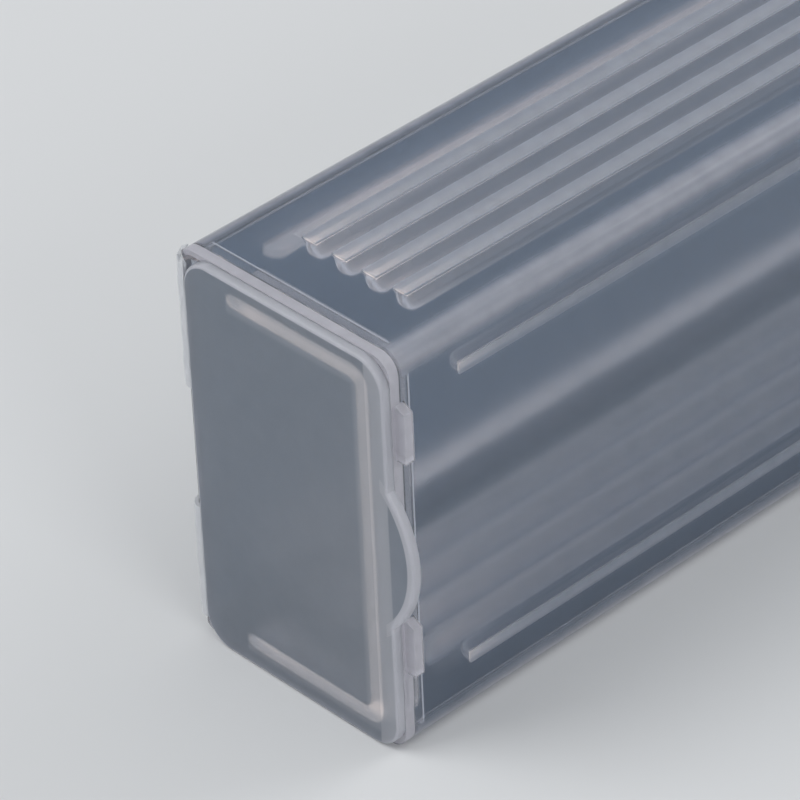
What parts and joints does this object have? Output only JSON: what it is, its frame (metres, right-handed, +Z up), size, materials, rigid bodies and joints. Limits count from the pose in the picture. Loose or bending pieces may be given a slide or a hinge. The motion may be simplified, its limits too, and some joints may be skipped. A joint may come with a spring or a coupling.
{
  "type": "slide mailer",
  "caption": "Flat clear plastic tube that holds microscope slides on edge between thin fins, closed by a frosted flap lid on film hinge straps, with a thumb tab.",
  "frame": {"origin": "middle of the narrow wall that the mailer lies on: halfway across the tube, halfway along it, on the ground", "axes": "+Z up, +Y along the tube from the mouth to the closed end, +X towards the thumb tab"},
  "size_m": [0.0209, 0.0815, 0.03],
  "materials": {
    "clear_polypropylene": "gloss, clear",
    "frosted_polypropylene": "fine frosted texture, translucent",
    "hinge_film": "gloss, stress whitened"
  },
  "bodies": {
    "tube": {"tube": "clear_polypropylene", "upper_hinge_strap": "hinge_film", "lower_hinge_strap": "hinge_film"},
    "lid": {"lid": "frosted_polypropylene"}
  },
  "joints": [
    {"name": "lid_hinge", "type": "hinge", "parent": "tube", "child": "lid", "pos_m": [-0.0093, -0.0404, 0.015], "axis": [0, 0, -1], "range_deg": [0, 180], "deforming": ["upper_hinge_strap", "lower_hinge_strap"]}
  ]
}
